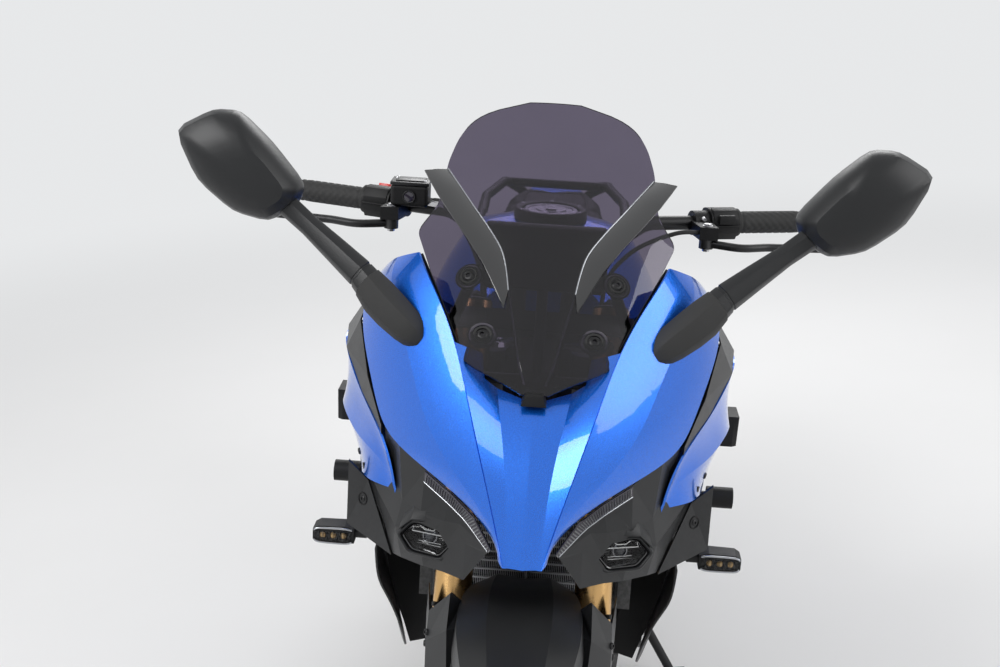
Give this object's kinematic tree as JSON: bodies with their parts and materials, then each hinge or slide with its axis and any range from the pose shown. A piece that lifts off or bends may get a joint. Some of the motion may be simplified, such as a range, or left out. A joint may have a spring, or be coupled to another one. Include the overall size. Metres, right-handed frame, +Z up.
{
  "type": "sport touring motorcycle",
  "caption": "Full-size sport touring motorcycle on its side stand, with faceted painted cowls, smoked screen, fork that steers, turning wheels and folding stand.",
  "frame": {"origin": "on the floor under the middle of the whole parked machine", "axes": "-Y to the front of the machine, +X to the rider's left, +Z up; the machine leans to +X on its stand"},
  "size_m": [1.01, 2.136, 1.2922],
  "materials": {
    "tyre": "fine matt rubber",
    "rim": "satin black",
    "disc": "machined",
    "steel": "satin",
    "gold": "anodised bronze",
    "black_metal": "satin black",
    "frame_metal": "satin dark grey",
    "alloy": "satin cast",
    "blue": "metallic gloss",
    "black_plastic": "fine grain",
    "gloss_black": "gloss",
    "rubber": "matt",
    "seat": "grained cover",
    "screen": "smoked clear sheet",
    "lamp": "clear lens over a bright reflector",
    "red_lens": "red lens",
    "mirror": "silvered"
  },
  "bodies": {
    "root": {"chain": "steel", "frame": "frame_metal", "swingarm": "frame_metal", "rear_axle": "steel", "rear_caliper": "black_metal", "rear_hugger": "black_plastic", "engine": "black_metal", "engine_covers": "black_metal", "radiator": "black_metal", "exhaust_headers": "steel", "muffler": "black_metal", "rear_shock": "black_metal", "subframe": "black_metal", "upper_cowl": "blue", "side_cowls": "blue", "cowl_trims": "black_plastic", "lower_cowls": "black_plastic", "cowl_stays": "black_metal", "headlight_cowls": "black_plastic", "headlights": "lamp", "fuel_tank": "blue", "filler_cap": "alloy", "windscreen": "screen", "screen_blades": "gloss_black", "mirrors": "black_plastic", "mirror_glasses": "mirror", "side_winglets": "black_plastic", "turn_signals": "gloss_black", "crash_pads": "black_plastic", "cockpit": "black_plastic", "rider_seat": "seat", "passenger_seat": "seat", "side_panels": "black_plastic", "tail_cowl": "blue", "tail_lamp": "red_lens", "grab_rails": "black_metal", "plate_bracket": "black_plastic", "footpegs": "alloy", "foot_controls": "alloy", "stand_bracket": "black_metal", "spool_boss_left": "alloy", "spool_boss_right": "alloy"},
    "steering": {"fork_tubes": "gold", "fork_legs": "black_metal", "front_calipers": "black_metal", "triple_clamps": "black_metal", "handlebar": "black_metal", "grips": "rubber", "hand_controls": "black_plastic", "hand_levers": "black_metal", "front_fender": "black_plastic"},
    "front_wheel": {"front_tyre": "tyre", "front_rim": "rim", "front_discs": "disc"},
    "rear_wheel": {"rear_tyre": "tyre", "rear_rim": "rim", "rear_disc": "disc", "rear_sprocket": "steel"},
    "side_stand": {"side_stand": "black_metal"}
  },
  "joints": [
    {"name": "steer", "type": "hinge", "parent": "root", "child": "steering", "pos_m": [-0.04366, -0.48981, 0.81088], "axis": [0.1026, 0.4224, 0.9006], "range_deg": [-31, 31]},
    {"name": "front_wheel_spin", "type": "hinge", "parent": "steering", "child": "front_wheel", "pos_m": [-0.10204, -0.77006, 0.29847], "axis": [0.9936, 0, -0.1132], "continuous": true},
    {"name": "rear_wheel_spin", "type": "hinge", "parent": "root", "child": "rear_wheel", "pos_m": [-0.10079, 0.68994, 0.30969], "axis": [0.9936, 0, -0.1132], "continuous": true},
    {"name": "side_stand_fold", "type": "hinge", "parent": "root", "child": "side_stand", "pos_m": [0.04076, 0.12995, 0.26225], "axis": [0.9393, -0.0001, 0.3431], "range_deg": [0, 95]}
  ]
}
